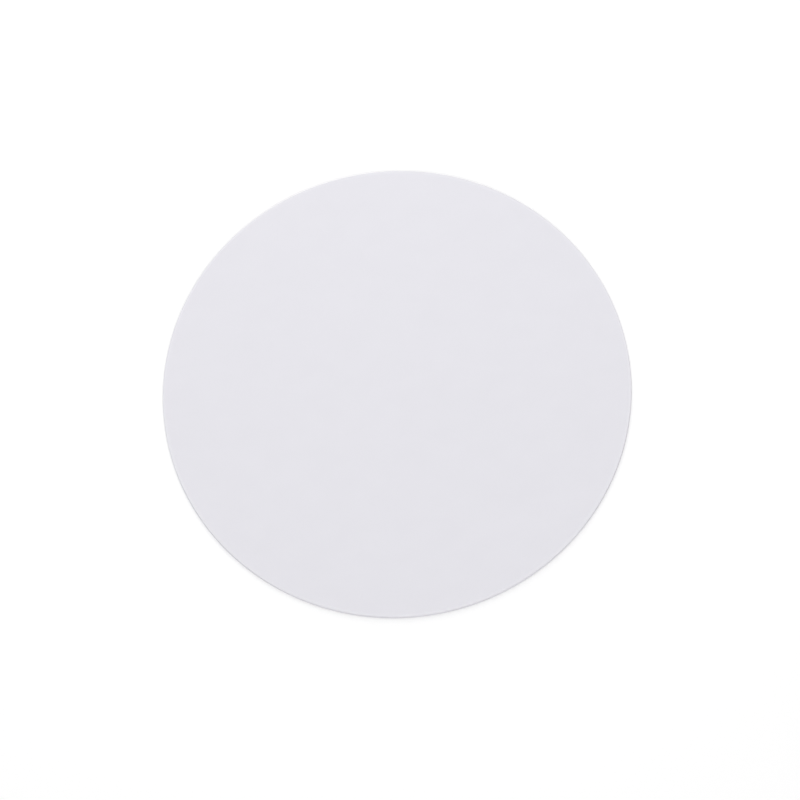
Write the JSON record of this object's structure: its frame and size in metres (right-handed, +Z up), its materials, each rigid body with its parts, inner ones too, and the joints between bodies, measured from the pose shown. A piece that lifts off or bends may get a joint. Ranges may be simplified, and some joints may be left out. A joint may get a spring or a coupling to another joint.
{
  "type": "cake board",
  "caption": "Round, flat cake board of smooth white solid board with a plain die-cut rim. It lies under a cake to carry it.",
  "frame": {"origin": "centre of the underside, where the board rests on a table", "axes": "+Z up through the face that carries the cake; X and Y lie in the board, which is the same all round"},
  "size_m": [0.203, 0.203, 0.002],
  "materials": {
    "coated_white_board": "matte"
  },
  "bodies": {
    "root": {"cake_board": "coated_white_board"}
  },
  "joints": []
}
